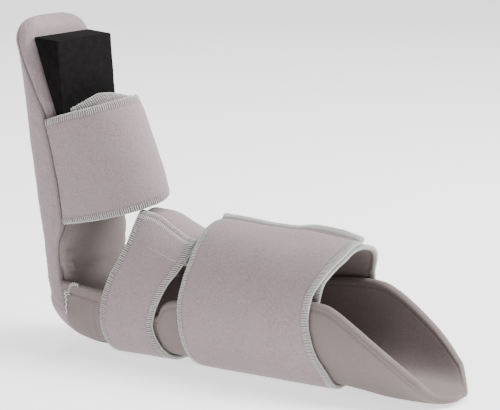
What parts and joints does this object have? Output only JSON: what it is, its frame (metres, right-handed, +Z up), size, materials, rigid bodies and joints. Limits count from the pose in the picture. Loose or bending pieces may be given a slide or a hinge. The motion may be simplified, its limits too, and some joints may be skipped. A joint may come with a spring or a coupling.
{
  "type": "plantar fasciitis night splint",
  "caption": "Padded L-shaped night splint with a toe wedge, heel gussets, a calf trough and wide wrap straps, lying on its calf back with the sole panel upright.",
  "frame": {"origin": "The middle of the flat underside of the calf strap, on the surface that the splint lies on.", "axes": "+X along the calf from the heel to the knee end, +Y across, away from the near side, +Z up, out of the calf trough."},
  "size_m": [0.4231, 0.1178, 0.2917],
  "materials": {
    "loop_cover": "brushed lavender-grey loop fabric over foam",
    "lining": "smooth grey-brown knitted lining over foam",
    "strap_fabric": "brushed lavender-grey loop fabric laminated on foam, overlocked edges",
    "black_foam": "matt closed-cell foam"
  },
  "bodies": {
    "root": {"foot_cover": "loop_cover", "foot_cushion": "lining", "toe_wedge": "black_foam", "heel_gusset_near": "lining", "heel_gusset_far": "lining", "calf_trough": "lining", "forefoot_strap_outer": "strap_fabric", "forefoot_strap_inner": "strap_fabric", "ankle_strap_outer": "strap_fabric", "ankle_strap_inner": "strap_fabric", "calf_strap_outer": "strap_fabric", "calf_strap_inner": "strap_fabric"}
  },
  "joints": []
}
